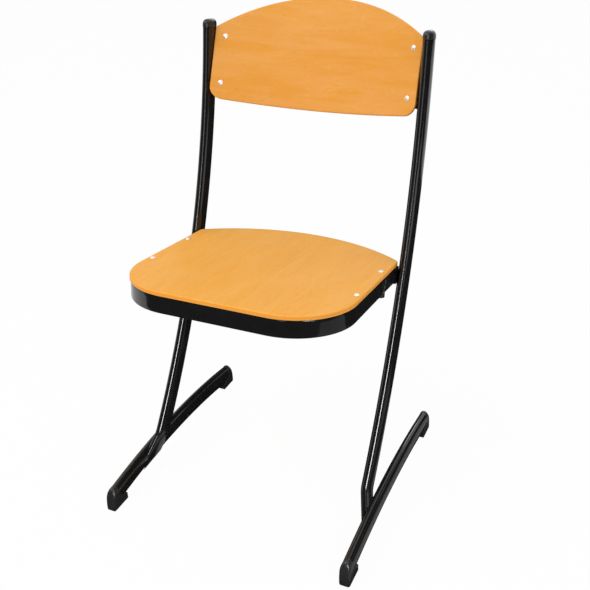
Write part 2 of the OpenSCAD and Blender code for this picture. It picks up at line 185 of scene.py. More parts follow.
def seen_rays(tree):
    """1 for rays that see the picture directly, in a mirror or through glass, else 0."""
    path = tree.nodes.new("ShaderNodeLightPath").outputs
    seen = calc(tree, "MAXIMUM", path["Is Camera Ray"], path["Is Glossy Ray"])
    return calc(tree, "MAXIMUM", seen, path["Is Transmission Ray"])


# %% The white sky
world = bpy.data.worlds.new("white studio")
bpy.context.scene.world = world
world.use_nodes = True
tree = world.node_tree
tree.nodes.clear()
shed = node(tree, "Background", Color=(1.0, 0.99, 0.98, 1), Strength=0.66)
seen = node(tree, "Background", Color=(1, 1, 1, 1), Strength=1.0)
both = node(tree, "MixShader", _0=seen_rays(tree), _1=shed.outputs[0], _2=seen.outputs[0])
node(tree, "OutputWorld", Surface=both.outputs[0])
print("world:", world.name)

# %% The white floor
floor_half = 30.0
floor_mesh = bpy.data.meshes.new("floor")
corners = np.array([(-1, -1, 0), (1, -1, 0), (1, 1, 0), (-1, 1, 0)]) * floor_half
floor_mesh.from_pydata(corners, [], [(0, 1, 2, 3)])
floor = bpy.data.objects.new("floor", floor_mesh)
bpy.context.scene.collection.objects.link(floor)

floor_paint = bpy.data.materials.new("floor white")
floor_paint.use_nodes = True
tree = floor_paint.node_tree
tree.nodes.clear()
plain = node(tree, "BsdfDiffuse", Color=(0.93, 0.93, 0.93, 1))
glow = node(tree, "Emission", Color=(1, 1, 1, 1), Strength=1.0)
share = calc(tree, "MULTIPLY", seen_rays(tree), 0.96)
both = node(tree, "MixShader", _0=share, _1=plain.outputs[0], _2=glow.outputs[0])
node(tree, "OutputMaterial", Surface=both.outputs[0])
floor_mesh.materials.append(floor_paint)
print("floor", 2 * floor_half, "m wide")

# %% [markdown]
# A broad soft box high at the sitter's right and a weaker one at the left model the chair. Gloss
# paint shows lamps as streaks, because a thin tube squeezes a whole room into a few millimetres:
# a short lamp low at the left makes the bright streak on the legs, a smaller one in front carries
# it on to the right leg's toe, pale panels make the faint streaks higher up, and a lamp behind
# the chair draws the line along the top of the foot rails. These only serve gloss, so they shed
# nothing on the wood.


# %% The lamps
def soft_box(name, place, target, size, power, gloss_only=False):
    """A rectangular lamp at a place, turned to a target; gloss_only spares all matt surfaces."""
    lamp = bpy.data.lights.new(name, "AREA")
    lamp.shape = "RECTANGLE"
    lamp.size, lamp.size_y = size
    lamp.energy = power
    holder = bpy.data.objects.new(name, lamp)
    bpy.context.scene.collection.objects.link(holder)
    holder.visible_diffuse = not gloss_only
    toward = Vector(target) - Vector(place)
    turn = toward.to_track_quat("-Z", "Y").to_matrix().to_4x4()
    holder.matrix_world = Matrix.Translation(place) @ turn


def place_round(azimuth, distance, height):
    """A place round the chair: azimuth 0 is in front of it and 90 at the sitter's left."""
    a = np.radians(azimuth)
    return (distance * np.sin(a), -distance * np.cos(a), height)


middle, low_middle = (0, 0, 0.45), (0, 0, 0.3)
right_toe = (-0.21, -0.14, 0.05)
soft_box("key", place_round(-36, 2.3, 3.3), middle, (1.8, 1.8), 44.5)
soft_box("fill", place_round(62, 2.9, 2.4), middle, (1.6, 1.6), 14)
for name, place, target, size, power in (
    ("leg streak", place_round(47, 1.6, 0.55), low_middle, (0.42, 0.28), 12),
    ("toe streak", place_round(8, 1.55, 0.44), right_toe, (0.3, 0.2), 2.4),
    ("front panel", place_round(38, 3.0, 1.13), middle, (1.7, 0.4), 4),
    ("side panel", place_round(102, 2.6, 0.16), middle, (0.6, 0.3), 0.8),
    ("rear panel", place_round(134, 3.0, 0.16), middle, (0.7, 0.3), 0.7),
    ("rear light", place_round(190, 3.0, 1.75), low_middle, (1.7, 0.6), 12),
):
    soft_box(name, place, target, size, power, gloss_only=True)
print("lamps:", len(bpy.data.lights))

# %% [markdown]
# In an all-white room black gloss would turn grey. So the studio is hung with black cards, as
# photographers do. Only gloss sees the cards; the camera, the wood and the shadow don't. A ring
# of them stands from a little right of the front round the sitter's left to the rear, while the
# right side and the ceiling stay white and open.


# %% The ring of black cards
black = 0.02


def card(name, points, faces, tone=black):
    """A matt card that only gloss can see."""
    paper = bpy.data.materials.new(name)
    paper.use_nodes = True
    tree = paper.node_tree
    tree.nodes.clear()
    matt = node(tree, "BsdfDiffuse", Color=(tone, tone, tone, 1))
    node(tree, "OutputMaterial", Surface=matt.outputs[0])
    mesh = bpy.data.meshes.new(name)
    mesh.from_pydata(points, [], faces.tolist())
    mesh.materials.append(paper)
    made = bpy.data.objects.new(name, mesh)
    bpy.context.scene.collection.objects.link(made)
    made.visible_camera = made.visible_diffuse = made.visible_shadow = False
    made.visible_transmission = made.visible_volume_scatter = False
    print(f"{name}: {len(faces)} faces")


ring_r, ring_top, low = 3.6, 3.3, 0.0004
posts = 50
turns = np.radians(np.linspace(-60, 141, posts))
foot = np.stack([ring_r * np.sin(turns), -ring_r * np.cos(turns), 0 * turns + low], axis=-1)
ring = np.concatenate([foot, foot + (0, 0, ring_top)])
card("ring of cards", ring, grid_faces(2, posts))

# %% [markdown]
# Most of what the camera sees in the tubes is the floor close by. So a sheet lies there, cut
# into fields by lines across and along, and each field has the tone that some flank of a tube
# should mirror. Most are black. Those far out at the right and behind are open, so they show the
# white floor, and three greys put the soft bands on the legs and rails. A light patch lies beside
# the right leg's toe. Last, a flag behind the backrest darkens the right upright's inner flank.

# %% The sheet on the floor, the patch and the flag
open_floor = 1.0
columns = np.array([-ring_r, -0.75, -0.10, 0.06, 0.25, 0.33, 0.60, 1.30, 2.30, ring_r])
rows = np.array([-ring_r, -0.80, feet_y - 0.60, feet_y - 0.30, -0.05, feet_y + 0.30, 1.55, ring_r])
places = np.stack(np.broadcast_arrays(columns[None, :], rows[:, None], low), axis=-1)
cells = (len(rows) - 1, len(columns) - 1)
fields = grid_faces(len(rows), len(columns)).reshape(*cells, 4)
tones = np.full(cells, black)
tones[1:, 0] = tones[6, :8] = open_floor
tones[2:5, 6] = 0.40
tones[3:5, 4] = 0.55
tones[3, 2] = 0.80
for tone in np.unique(tones[tones < open_floor]):
    card(f"sheet of tone {tone}", places.reshape(-1, 3), fields[tones == tone], tone)

patch = np.array([(x, y, 2 * low) for y in (-0.122, -0.065) for x in (-0.22, -0.125)])
card("light patch by the right toe", patch, grid_faces(2, 2), 0.85)
flag = np.array([(x, 0.36, z) for z in (0.05, 0.85) for x in (-0.42, 0.17)])
card("flag behind the backrest", flag, grid_faces(2, 2))

# %% [markdown]
# The camera stands in front of the chair, to the sitter's left and above the backrest's top. The
# picture crops the top of the backrest a little, and the lens' middle lies above the picture's
# middle, which is the small shift. Place, turn and focal length come from fitting the chair's
# known points to the photograph. The focal length and the lens' middle are in pixels of a picture
# 590 pixels wide.

# %% The camera
picture = 590.0
focal = 850.938
axis_x, axis_y = 291.531, 247.648
camera_data = bpy.data.cameras.new("camera")
camera_data.sensor_width = 36.0
camera_data.lens = camera_data.sensor_width * focal / picture
camera_data.shift_x = (picture / 2 - axis_x) / picture
camera_data.shift_y = (axis_y - picture / 2) / picture
camera_data.clip_end = 100.0
camera = bpy.data.objects.new("camera", camera_data)
bpy.context.scene.collection.objects.link(camera)
across = Vector((0.9095381, 0.4143732, -0.0321758))
down = Vector((0.1496955, -0.3988289, -0.9047247))
ahead = Vector((-0.3877263, 0.8180650, -0.4247798))
turn = Matrix((across, -down, -ahead)).transposed()
eye = Vector((0.603601, -1.174395 + feet_y, 1.086221))
camera.matrix_world = Matrix.Translation(eye) @ turn.to_4x4()
bpy.context.scene.camera = camera
bpy.context.scene.view_settings.view_transform = "Standard"
print("camera at", [round(v, 4) for v in eye])

# %% [markdown]
# ## Finishes
#
# A finish is a small network of shader nodes round one Principled shader. Nothing real has one
# even colour, so noise patterns drive the tone, the roughness and a faint relief. The patterns
# read Object coordinates, which are metres here, so a scale of 300 makes grains of about 3 mm.


# %% Helpers for finishes
def finish(name):
    """An empty material with its shader and its output."""
    material = bpy.data.materials.new(name)
    material.use_nodes = True
    tree = material.node_tree
    tree.nodes.clear()
    shader = tree.nodes.new("ShaderNodeBsdfPrincipled")
    node(tree, "OutputMaterial", Surface=shader.outputs[0])
    print("finish:", name)
    return material, tree, shader


def object_place(tree):
    """Object coordinates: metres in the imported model's frame."""
    return tree.nodes.new("ShaderNodeTexCoord").outputs["Object"]


def noise(tree, place, scale, detail=2.0, rough=0.5, bend=0.0):
    """Soft random clouds from 0 to 1; scale is their number per metre."""
    made = node(tree, "TexNoise", Vector=place, Scale=scale, Detail=detail, Roughness=rough,
                Distortion=bend)
    return made.outputs["Fac"]


def between(tree, value, low, high, from_low=0.0, from_high=1.0):
    """Maps a value from one range to another and holds it there."""
    made = node(tree, "MapRange", Value=value, _1=from_low, _2=from_high, _3=low, _4=high)
    made.clamp = True
    return made.outputs[0]


def colours(tree, value, stops):
    """A colour ramp with stops of (place, red, green, blue)."""
    made = node(tree, "ValToRGB", Fac=value)
    ramp = made.color_ramp
    while len(ramp.elements) < len(stops):
        ramp.elements.new(0.5)
    for element, (place, r, g, b) in zip(ramp.elements, stops):
        element.position = place
        element.color = (r, g, b, 1)
    return made.outputs[0]


def blend_colours(tree, amount, one, two, how="MIX"):
    """Colour one with an amount of colour two over it."""
    made = node(tree, "Mix", _0=amount, _6=one, _7=two)
    made.data_type = "RGBA"
    made.blend_type = how
    return made.outputs[2]


def bump(tree, shader, height, depth, strength=1.0):
    """Raises the surface by height times depth, in metres."""
    made = node(tree, "Bump", Height=height, Distance=depth, Strength=strength)
    tree.links.new(made.outputs[0], shader.inputs["Normal"])


# %% [markdown]
# The frame is powder coated: a deep black with a glossy skin that is very slightly uneven, like
# the peel of an orange. The paint lies thicker in some places, so both its roughness and its
# tone drift a little.


# %% Black gloss paint
def black_paint():
    """Deep black, glossy, with a very low relief."""
    material, tree, shader = finish("black gloss paint")
    place = object_place(tree)
    tone = noise(tree, place, 38.0, 3.0)
    stops = [(0.3, 0.0082, 0.0082, 0.0084), (0.7, 0.0112, 0.0112, 0.0115)]
    tree.links.new(colours(tree, tone, stops), shader.inputs["Base Color"])
    drift = noise(tree, place, 55.0, 4.0, 0.6)
    tree.links.new(between(tree, drift, 0.08, 0.13, 0.3, 0.7), shader.inputs["Roughness"])
    shader.inputs["Specular IOR Level"].default_value = 0.5
    bump(tree, shader, noise(tree, place, 300.0, 1.0), 0.004 * mm, 0.5)
    return material


paint = black_paint()

# %% [markdown]
# The caps, glides and buffers are moulded. Their plastic is a dark grey with a fine, even
# texture from the mould, which breaks up every highlight. The rubber is duller still.


# %% Moulded plastic and rubber
def moulded(name, dark, light, rough, grain, depth):
    """Dark plastic or rubber with a fine grain of a given depth."""
    material, tree, shader = finish(name)
    place = object_place(tree)
    tone = noise(tree, place, 70.0, 4.0, 0.6)
    stops = [(0.3, dark, dark, dark * 1.03), (0.7, light, light, light * 1.03)]
    tree.links.new(colours(tree, tone, stops), shader.inputs["Base Color"])
    fine = noise(tree, place, grain, 2.0)
    tree.links.new(between(tree, fine, rough - 0.06, rough + 0.08, 0.3, 0.7),
                   shader.inputs["Roughness"])
    shader.inputs["Specular IOR Level"].default_value = 0.45
    bump(tree, shader, fine, depth, 0.7)
    return material


plastic = moulded("moulded plastic", 0.018, 0.026, 0.30, 1400.0, 0.02 * mm)
rubber = moulded("rubber", 0.005, 0.008, 0.62, 900.0, 0.08 * mm)

# %% [markdown]
# The rivets are bright zinc-plated steel. Plating is never quite even: faint clouds of a darker
# grey lie over it, and the setting tool leaves fine marks.


# %% Plated steel
def plated_steel():
    """Pale metal, clouded and finely marked."""
    material, tree, shader = finish("plated steel")
    place = object_place(tree)
    cloud = noise(tree, place, 300.0, 3.0)
    stops = [(0.3, 0.88, 0.88, 0.89), (0.7, 0.96, 0.96, 0.96)]
    tree.links.new(colours(tree, cloud, stops), shader.inputs["Base Color"])
    marks = noise(tree, place, 1500.0, 3.0)
    tree.links.new(between(tree, marks, 0.50, 0.62, 0.3, 0.7), shader.inputs["Roughness"])
    shader.inputs["Metallic"].default_value = 1.0
    bump(tree, shader, marks, 0.03 * mm, 0.5)
    return material


steel = plated_steel()

# %% [markdown]
# Both panels are beech plywood under a clear satin lacquer. Beech is even and honey coloured,
# with soft lighter and darker bands along the grain and countless short, darker flecks. The
# pattern has to follow the sheet, also round the bend of the backrest, so each panel carries an
# attribute with its own measures in metres: across the grain, along the grain, and the depth
# below the face. At the rim that depth shows the thin veneers, which run crosswise by turns.
# The seat's beech is painted paler than the backrest's: painted light, as the seat faces up.


# %% Beech plywood
def beech(name, pale, deep, fleck_share, edge_pale, edge_deep, ply):
    """Veneer from streaks along the grain, bands across it and flecks; plies at the rim."""
    material, tree, shader = finish(name)
    place = object_place(tree)
    sheet_node = node(tree, "Attribute")
    sheet_node.attribute_name = "sheet"
    sheet = sheet_node.outputs["Vector"]

    def stretched(x, y):
        """The sheet's measures, with x grains per metre across and y along."""
        return node(tree, "Mapping", Vector=sheet, Scale=(x, y, 1.0)).outputs[0]

    bands = noise(tree, stretched(38.0, 5.0), 1.0, 4.0, 0.6, 1.2)
    streaks = noise(tree, stretched(300.0, 26.0), 1.0, 5.0, 0.62, 0.5)
    pores = noise(tree, stretched(1500.0, 120.0), 1.0, 2.0, 0.5)
    clouds = noise(tree, stretched(16.0, 6.0), 1.0, 3.0, 0.5, 0.8)
    base = colours(tree, bands, [(0.38, *deep), (0.62, *pale)])
    fine = colours(tree, streaks, [(0.32, 0.94, 0.85, 0.72), (0.60, 1.0, 1.0, 1.0)])
    base = blend_colours(tree, 0.28, base, fine, "MULTIPLY")
    drift = colours(tree, clouds, [(0.35, 0.97, 0.94, 0.86), (0.65, 1.0, 1.0, 1.0)])
    base = blend_colours(tree, 0.8, base, drift, "MULTIPLY")

    def flecks(x, y, seed, size):
        """Short dashes along the grain, thinned out by a slower pattern."""
        spots = node(tree, "TexVoronoi", Vector=stretched(x, y), Scale=1.0, Randomness=1.0)
        near = between(tree, spots.outputs["Distance"], 1.0, 0.0, size * 0.4, size)
        places = node(tree, "Mapping", Vector=stretched(46.0, 22.0), Location=(seed, 0, 0))
        some = between(tree, noise(tree, places.outputs[0], 1.0, 2.0), 0.0, 1.0, 0.50, 0.60)
        return calc(tree, "MULTIPLY", calc(tree, "MULTIPLY", near, some), fleck_share)

    base = blend_colours(tree, flecks(520.0, 70.0, 0.0, 0.30), base, (0.68, 0.25, 0.035, 1))
    base = blend_colours(tree, flecks(640.0, 60.0, 5.0, 0.28), base, (0.98, 0.53, 0.155, 1))

    depth = node(tree, "SeparateXYZ", Vector=sheet).outputs["Z"]
    plies = calc(tree, "MULTIPLY", depth, 1.0 / ply)
    wobble = between(tree, noise(tree, place, 90.0), -0.12, 0.12)
    turn = calc(tree, "PINGPONG", calc(tree, "ADD", plies, wobble), 1.0)
    ends = noise(tree, place, 900.0, 3.0, 0.6)
    rim = colours(tree, turn, [(0.35, *edge_deep), (0.65, *edge_pale)])
    rim = blend_colours(tree, between(tree, ends, 0.0, 0.25, 0.4, 0.7), rim, (*edge_deep, 1))
    below = between(tree, depth, 0.0, 1.0, 1.2 * mm, 2.0 * mm)
    base = blend_colours(tree, below, base, rim)
    tree.links.new(base, shader.inputs["Base Color"])

    rough = between(tree, streaks, 0.50, 0.42, 0.3, 0.7)
    tree.links.new(rough, shader.inputs["Roughness"])
    shader.inputs["Specular IOR Level"].default_value = 0.10
    bump(tree, shader, pores, 0.03 * mm, 0.35)
    return material


# Painted light and shade: one beech in two copies, the seat's painted paler for its upward face
# and the backrest's darker.
seat_beech_painted_lit = beech("seat beech", (0.985, 0.487, 0.100), (0.968, 0.456, 0.070), 0.55,
                    (0.95, 0.375, 0.050), (0.93, 0.355, 0.044), 1.6 * mm)
back_beech_painted_shaded = beech("back beech", (0.862, 0.404, 0.099), (0.838, 0.366, 0.058), 0.60,
                    (0.87, 0.36, 0.060), (0.83, 0.33, 0.050), 1.5 * mm)

# %% [markdown]
# ## The tubes
#
# The uprights and the rails are one oval tube, 38 by 20 mm. Its outline is four arcs: two slim
# ends and two broad sides that meet them smoothly. Every arc is walked by the direction of its
# normal, so the points crowd where the tube is tightly curved, and an inset of the outline is
# the same walk with smaller radii.

# %% The tube's outline
tube_depth, tube_width, tube_edge = 38 * mm, 20 * mm, 6 * mm
tube_wall = 2 * mm
touching = 0.001 * mm


def arcs_walk(arcs, points_per_turn, straight=0.0):
    """Points and outward normals along a chain of arcs (x, y, radius, from, to in degrees).

    On an arc: centre + radius * (cos a, sin a), with the normal (cos a, sin a). Where one arc's
    end and the next one's start differ, the straight between them is cut at steps of straight.
    """
    points, normals = [], []
    for index, (x, y, radius, start, end) in enumerate(arcs):
        count = max(3, int(np.ceil(abs(end - start) / 360 * points_per_turn)) + 1)
        if straight:
            count = max(count, int(np.ceil(radius * np.radians(abs(end - start)) / straight)) + 1)
        a = np.radians(np.linspace(start, end, count))
        n = np.stack([np.cos(a), np.sin(a)], axis=1)
        points.append(np.array([x, y]) + radius * n)
        normals.append(n)
        x2, y2, radius2, start2, _ = arcs[(index + 1) % len(arcs)]
        a2 = np.radians(start2)
        target = np.array([x2 + radius2 * np.cos(a2), y2 + radius2 * np.sin(a2)])
        gap = np.linalg.norm(target - points[-1][-1])
        if gap > touching and straight:
            pieces = max(1, int(np.ceil(gap / straight)))
            t = np.linspace(0, 1, pieces + 1)[1:-1, None]
            points.append(points[-1][-1] * (1 - t) + target * t)
            normals.append(np.repeat(n[-1:], len(t), axis=0))
        elif gap <= touching:
            points[-1], normals[-1] = points[-1][:-1], normals[-1][:-1]
    return np.concatenate(points), np.concatenate(normals)


def oval_flank(depth, width, edge):
    """Radius of an oval's two broad sides: they pass tangentially into its end circles."""
    reach = depth / 2 - edge
    return (reach**2 + width**2 / 4 - edge**2) / (width - 2 * edge)


def oval_arcs(depth, width, edge):
    """The four arcs of the tube's oval, its depth along x."""
    reach = depth / 2 - edge
    side = oval_flank(depth, width, edge)
    lean = np.degrees(np.arctan2(side - width / 2, reach))
    return [
        (reach, 0, edge, -lean, lean),
        (0, width / 2 - side, side, lean, 180 - lean),
        (-reach, 0, edge, 180 - lean, 180 + lean),
        (0, side - width / 2, side, 180 + lean, 360 - lean),
    ]


oval, oval_normal = arcs_walk(oval_arcs(tube_depth, tube_width, tube_edge), 96, 1.2 * mm)
print("points round the oval:", len(oval))


def carry(section, path, along_x, along_y):
    """The section's x and y laid along two directions at every point of the path."""
    return (
        path[:, None, :]
        + section[None, :, :1] * along_x[:, None, :]
        + section[None, :, 1:] * along_y[:, None, :]
    )


# %% [markdown]
# A foot rail is a low arch: its middle line is an arc of 1340 mm radius whose crest lies
# 41.5 mm above the floor. The glides close its ends.

# %% The foot rails
rail_x = 228 * mm
arch_r = 1340 * mm
rail_crest = 41.5 * mm
foot_length, head_length = 459 * mm, 21 * mm
rail_half = foot_length / 2 - head_length
rail_angle = np.arcsin(rail_half / arch_r)
arch_z = rail_crest - arch_r


def rail_frame(a):
    """Point, outward and sideways direction of the arch at an angle from its crest."""
    zero = np.zeros_like(a)
    outward = np.stack([zero, np.sin(a), np.cos(a)], axis=1)
    point = np.array([rail_x, feet_y, arch_z]) + arch_r * outward
    return point, outward, np.stack([zero + 1, zero, zero], axis=1)


rail = carry(oval, *rail_frame(np.linspace(-rail_angle, rail_angle, 121)))
pair("foot_rail_painted", closed_tube(rail), paint, "foot_rail")

# %% [markdown]
# An upright is one long bend of 1595 mm radius. At the ankle the tube turns out by 14 degrees and
# lies against the rail, where it is cut to fit.

# %% The upright's middle line
upright_x = 210 * mm
bend_r = 1595 * mm
lean, top_lean = np.radians(36.0), np.radians(8.0)
ankle_front, ankle_z, ankle_r = 68 * mm, 75 * mm, 60 * mm
splay = np.radians(14.0)
toe_cut, toe_drop = np.radians(52.0), 13 * mm
weld_gap = 0.3 * mm

bend_length = bend_r * (lean - top_lean)
splay_length = ankle_r * splay
toe_length = ankle_z / np.cos(lean)
print("length of the long bend:", round(bend_length, 4))


def leg_frame(s):
    """Point, depth direction and width direction at a distance s below the upright's top.

    On the long bend: centre + radius * (cos a, sin a) with a = top lean + s / radius. On the
    ankle the line turns out round an axis 60 mm beside it, and then it runs straight.
    """
    a = np.clip(top_lean + s / bend_r, top_lean, lean)
    centre = np.array([
        upright_x,
        feet_y - ankle_front - bend_r * np.cos(lean),
        ankle_z + bend_r * np.sin(lean),
    ])
    depth_way = np.stack([np.zeros_like(a), np.cos(a), -np.sin(a)], axis=-1)
    point = centre + bend_r * depth_way
    down_way = np.array([0.0, -np.sin(lean), -np.cos(lean)])
    past = np.clip(s - bend_length, 0, None)
    b = np.clip(past / ankle_r, 0, splay)
    straight = np.clip(past - splay_length, 0, None)
    out_way = np.array([1.0, 0.0, 0.0])
    point = (
        point
        + (ankle_r * (1 - np.cos(b)) + straight * np.sin(b))[..., None] * out_way
        + (ankle_r * np.sin(b) + straight * np.cos(b))[..., None] * down_way
    )
    width_way = np.cos(b)[..., None] * out_way - np.sin(b)[..., None] * down_way
    return point, depth_way, width_way


# %% [markdown]
# Every line of points that runs down the tube has an end of its own: it stops where it meets the
# rail or the slanting cut. So one function says how far a point lies beyond the leg, and the place
# where it passes zero is found by halving a span again and again, for all lines at once. The cut
# end is closed by straight lines from the front of the oval to its rear, which lie in the cut
# because it runs along the rail.


# %% Where the leg ends
def oval_reach(across, depth):
    """How far a point lies outside the tube's oval, in metres (negative inside)."""
    x, y = np.abs(depth), np.abs(across)
    end_arc, side_arc = oval_arcs(tube_depth, tube_width, tube_edge)[:2]
    end = np.hypot(x - end_arc[0], y) - end_arc[2]
    side = np.hypot(x, y - side_arc[1]) - side_arc[2]
    at_end = np.degrees(np.arctan2(y - side_arc[1], x)) < end_arc[4]
    return np.where(at_end, end, side)


def beyond_the_leg(p):
    """Above zero where the leg has been cut away: in the rail, below the cut, past the middle."""
    x, y, z = p[..., 0], p[..., 1] - feet_y, p[..., 2]
    from_centre = np.hypot(y, z - arch_z)
    in_rail = weld_gap - oval_reach(x - rail_x, from_centre - arch_r)
    low = arch_r - toe_drop - tube_width / 2 * np.tan(toe_cut)
    cone = low + (rail_x - x) * np.tan(toe_cut) - from_centre
    under = arch_r - tube_depth / 2 - from_centre
    return np.maximum(np.maximum(in_rail, cone), np.maximum(under, x - rail_x))


def last_inside(low, high, is_outside, halvings):
    """Halves the spans from low to high again and again, and keeps the half with the crossing."""
    for _ in range(halvings):
        half = (low + high) / 2
        outside = is_outside(half)
        low, high = np.where(outside, low, half), np.where(outside, half, high)
    return low


# %% The uprights
def on_leg(s):
    """The oval's points, each at a distance s below the top."""
    point, deep, wide = leg_frame(s)
    return point + oval[:, :1] * deep + oval[:, 1:] * wide


ankle_above, ankle_below, ring_step = 11 * mm, 4 * mm, 1 * mm


def leg_grids():
    """The tube down to the ankle with the toe below it, and the face that closes the toe."""
    long_bend = np.linspace(0, bend_length - ankle_above - ring_step, 150)
    last_ring = bend_length + splay_length + ankle_below
    ankle = np.linspace(bend_length - ankle_above, last_ring, 24)
    tube = carry(oval, *leg_frame(np.concatenate([long_bend, ankle])))
    start = np.full(len(oval), last_ring)
    longest = np.full(len(oval), bend_length + splay_length + toe_length)
    end = last_inside(start, longest, lambda s: beyond_the_leg(on_leg(s)) > 0, 40)
    share = np.linspace(0, 1, 26)[:, None]
    toe = on_leg(start * (1 - share) + end * share)
    tube = np.concatenate([tube, toe[1:]])
    apart = np.hypot(oval[:, None, 0] + oval[:, 0], oval[:, None, 1] - oval[:, 1])
    mirrored = apart.argmin(axis=0)
    front_half = np.flatnonzero(oval[:, 0] >= -touching)
    front_half = front_half[np.argsort(-oval[front_half, 1])]
    t = np.linspace(0, 1, 9)[None, :, None]
    tip = toe[-1]
    return tube, tip[front_half][:, None] * (1 - t) + tip[mirrored[front_half]][:, None] * t


leg, leg_close = leg_grids()
print("rings of an upright:", len(leg))

# %% [markdown]
# At its top the tube is sawn off square. The rim has softened edges on both sides of the wall,
# and the bore runs down to the cap's plug. The lowest ring of the outer edge takes the place of
# the tube's first one.

# %% The uprights' rims
rim, bore = 0.5 * mm, 4 * mm


def inset(points, normals, distance):
    """The points drawn in along their normals."""
    return points - normals * distance


def leg_top():
    """Rings over the rim: a quarter circle up, the flat, a quarter circle down and the bore."""
    quarter = np.linspace(0, np.pi / 2, 4)
    steps = [(rim * (1 - np.cos(a)), rim * np.sin(a)) for a in quarter]
    steps += [(tube_wall - inward, rise) for inward, rise in steps[::-1]]
    steps += [(tube_wall, -bore)]
    point, deep, wide = leg_frame(np.array([0.0]))
    up = np.array([0.0, np.sin(top_lean), np.cos(top_lean)])
    rings = []
    for inward, rise in steps:
        ring = carry(inset(oval, oval_normal, inward), point, deep, wide)[0]
        rings.append(ring + up * (rise - rim))
    return np.stack(rings)


top_rings = leg_top()
leg[0] = top_rings[0]
leg_skin = [around(leg), around(top_rings), closing(top_rings[-1]), leg_close]
pair("upright_painted", leg_skin, paint, "upright")

# %% [markdown]
# ## Moulded pieces
#
# The caps and glides are solid lumps bounded by a few simple walls: the tube's oval, a flat
# base, a curved nose or vault. Each wall is a function that is below zero inside. Where two
# walls meet, the mould has a small radius, and a round blend of the functions gives it. The
# skin is found from the heart of the piece: along thousands of rays, the place where the blend
# passes zero.


# %% Rays from the heart of a moulded piece
def rounded(walls, radius):
    """Blend of walls: largest value, but a quarter circle of the radius where two walls meet."""
    stack = np.stack([np.broadcast_to(w, walls[0].shape) for w in walls]) + radius
    outer = np.sqrt((np.clip(stack, 0, None) ** 2).sum(axis=0))
    return np.where((stack > 0).any(axis=0), outer, stack.max(axis=0)) - radius


def ray_skin(heart, wall, reach, rows=121, columns=240):
    """Grid of points where rays from the heart pass the wall; the poles lie on the x axis."""
    polar = np.linspace(0, np.pi, rows)[:, None]
    spin = np.linspace(0, 2 * np.pi, columns, endpoint=False)[None, :]
    ways = np.stack(np.broadcast_arrays(
        np.cos(polar), np.sin(polar) * np.cos(spin), np.sin(polar) * np.sin(spin)), axis=-1)
    span = np.full(ways.shape[:2], reach)
    far = last_inside(0 * span, span, lambda r: wall(heart + ways * r[..., None]) > 0, 26)
    return around(heart + ways * far[..., None])


# %% [markdown]
# A cap stands a shade proud of the tube all round and is domed: its rim turns over with a large
# radius along both flanks and at the front and rear, so that only a narrow strip stays flat.

# %% The caps
cap_height, cap_proud = 15 * mm, 0.5 * mm
cap_flank_r, crown_r = 9.5 * mm, 9 * mm
cap_corner, cap_foot = 1.2 * mm, 0.4 * mm
cap_depth, cap_width = tube_depth + 2 * cap_proud, tube_width + 2 * cap_proud
cap_arc_r = oval_flank(cap_depth, cap_width, tube_edge + cap_proud)


def cap_wall(p):
    """p holds width, depth and height over the tube's end."""
    wide, deep, high = np.abs(p[..., 0]), p[..., 1], p[..., 2]
    from_axis = np.hypot(wide + cap_arc_r - cap_width / 2, deep)
    flank = rounded([from_axis - cap_arc_r, high - cap_height], cap_flank_r)
    shoulder = rounded([np.abs(deep) - cap_depth / 2, high - cap_height], crown_r)
    dome = np.maximum(rounded([flank, shoulder], cap_corner), oval_reach(wide, deep) - cap_proud)
    return rounded([dome, -high], cap_foot)


cap_heart = np.array([0, 0, 4 * mm])
cap = ray_skin(cap_heart, cap_wall, tube_depth)
top_point, top_deep, top_wide = (v[0] for v in leg_frame(np.array([0.0])))
top_up = np.array([0.0, np.sin(top_lean), np.cos(top_lean)])
cap = top_point + cap[..., :1] * top_wide + cap[..., 1:2] * top_deep + cap[..., 2:] * top_up
pair("cap_moulded", [cap], plastic, "upright_cap", sharp=60)

# %% [markdown]
# A glide is a head that closes the rail's end and a pad that runs on under the tube. The head
# keeps the tube's oval top. Seen from the side its nose is a slightly bulging face that turns
# over into the top with a small radius. Its sole and its upright edges are rounded too.

# %% The glides
pad_length, pad_height, cheek_height = 41 * mm, 14 * mm, 22 * mm
nose_r, nose_low, nose_edge = 80 * mm, 8 * mm, 5 * mm
sole_r, toe_r, head_edge = 2.6 * mm, 0.8 * mm, 3 * mm
joint_edge, pad_edge = 0.4 * mm, 0.8 * mm
glide_heart = np.array([0, 15 * mm, 7.5 * mm])
rail_end_z = arch_z + arch_r * np.cos(rail_angle)


def glide_wall(p):
    """p holds width, distance inwards from the tip and height over the floor."""
    wide, inward, high = np.abs(p[..., 0]), p[..., 1], p[..., 2]
    side = wide - tube_width / 2
    flank = np.where(high > rail_end_z, oval_reach(wide, high - rail_end_z), side)
    nose = np.hypot(inward - nose_r, high - nose_low) - nose_r
    body = np.maximum(rounded([flank, nose], nose_edge), rounded([side, nose], head_edge))
    sole = np.maximum(rounded([side, -high], sole_r), rounded([nose, -high], toe_r))
    body = np.maximum(body, sole)
    head = rounded([body, inward - head_length], joint_edge)
    rise = (cheek_height - pad_height) / (pad_length - head_length)
    pad_top = (high - pad_height - (pad_length - inward) * rise) / np.hypot(1, rise)
    pad = rounded([rounded([body, pad_top], pad_edge), inward - pad_length], pad_edge)
    return np.minimum(head, pad)


glide = ray_skin(glide_heart, glide_wall, 2 * pad_length, 141, 320)
for word, side in sides:
    for where, end in ends:
        placed = np.stack([
            side * (rail_x + glide[..., 0]),
            feet_y + end * (foot_length / 2 - glide[..., 1]),
            glide[..., 2],
        ], axis=-1)
        skin(f"{word}_{where}_glide_moulded", [placed], plastic,
             f"{word}_{where}_glide", sharp=60)

# %% [markdown]
# ## The seat frame
#
# A rectangular tube, 30 mm high and 15 mm deep, is bent round the front and both sides of the
# seat. Its outline comes from the seat's: the same corners, one and a half millimetres further
# in. The section is a rectangle with small round corners, carried along that outline.

